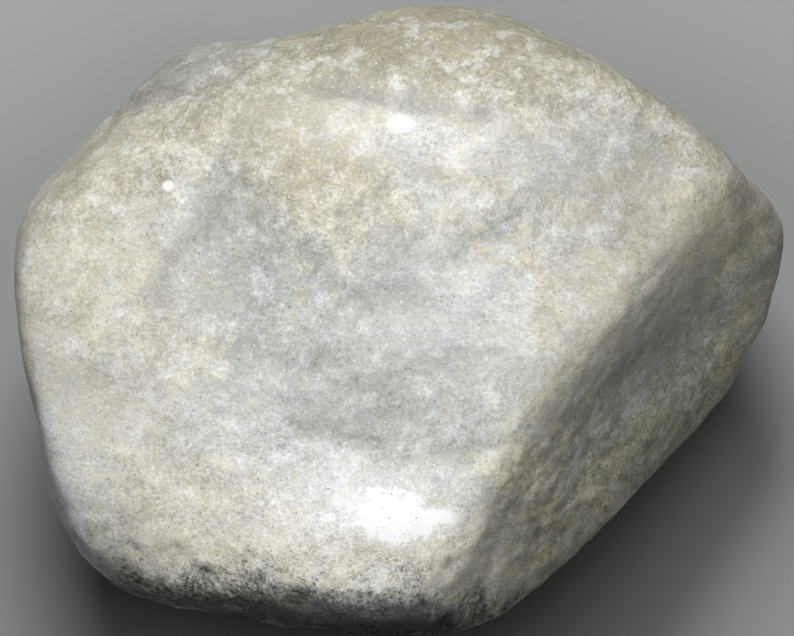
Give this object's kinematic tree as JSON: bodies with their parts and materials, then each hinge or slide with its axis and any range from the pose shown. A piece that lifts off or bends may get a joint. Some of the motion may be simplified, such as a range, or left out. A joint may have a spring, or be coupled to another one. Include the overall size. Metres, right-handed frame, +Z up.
{
  "type": "gypsum rock",
  "caption": "Hand-sized stone of massive white gypsum with worn faces, a shallow dish on its broad top and a small flat spot to rest on.",
  "frame": {"origin": "on the small flat spot underneath, straight below the stone's centre", "axes": "+Z up through the broad, nearly level top face, +X along the longest extent towards the pointed end, +Y towards the side with the lobe"},
  "size_m": [0.0974, 0.0796, 0.0577],
  "materials": {
    "gypsum": "matt, fine sugary grain"
  },
  "bodies": {
    "root": {"gypsum_rock": "gypsum"}
  },
  "joints": []
}
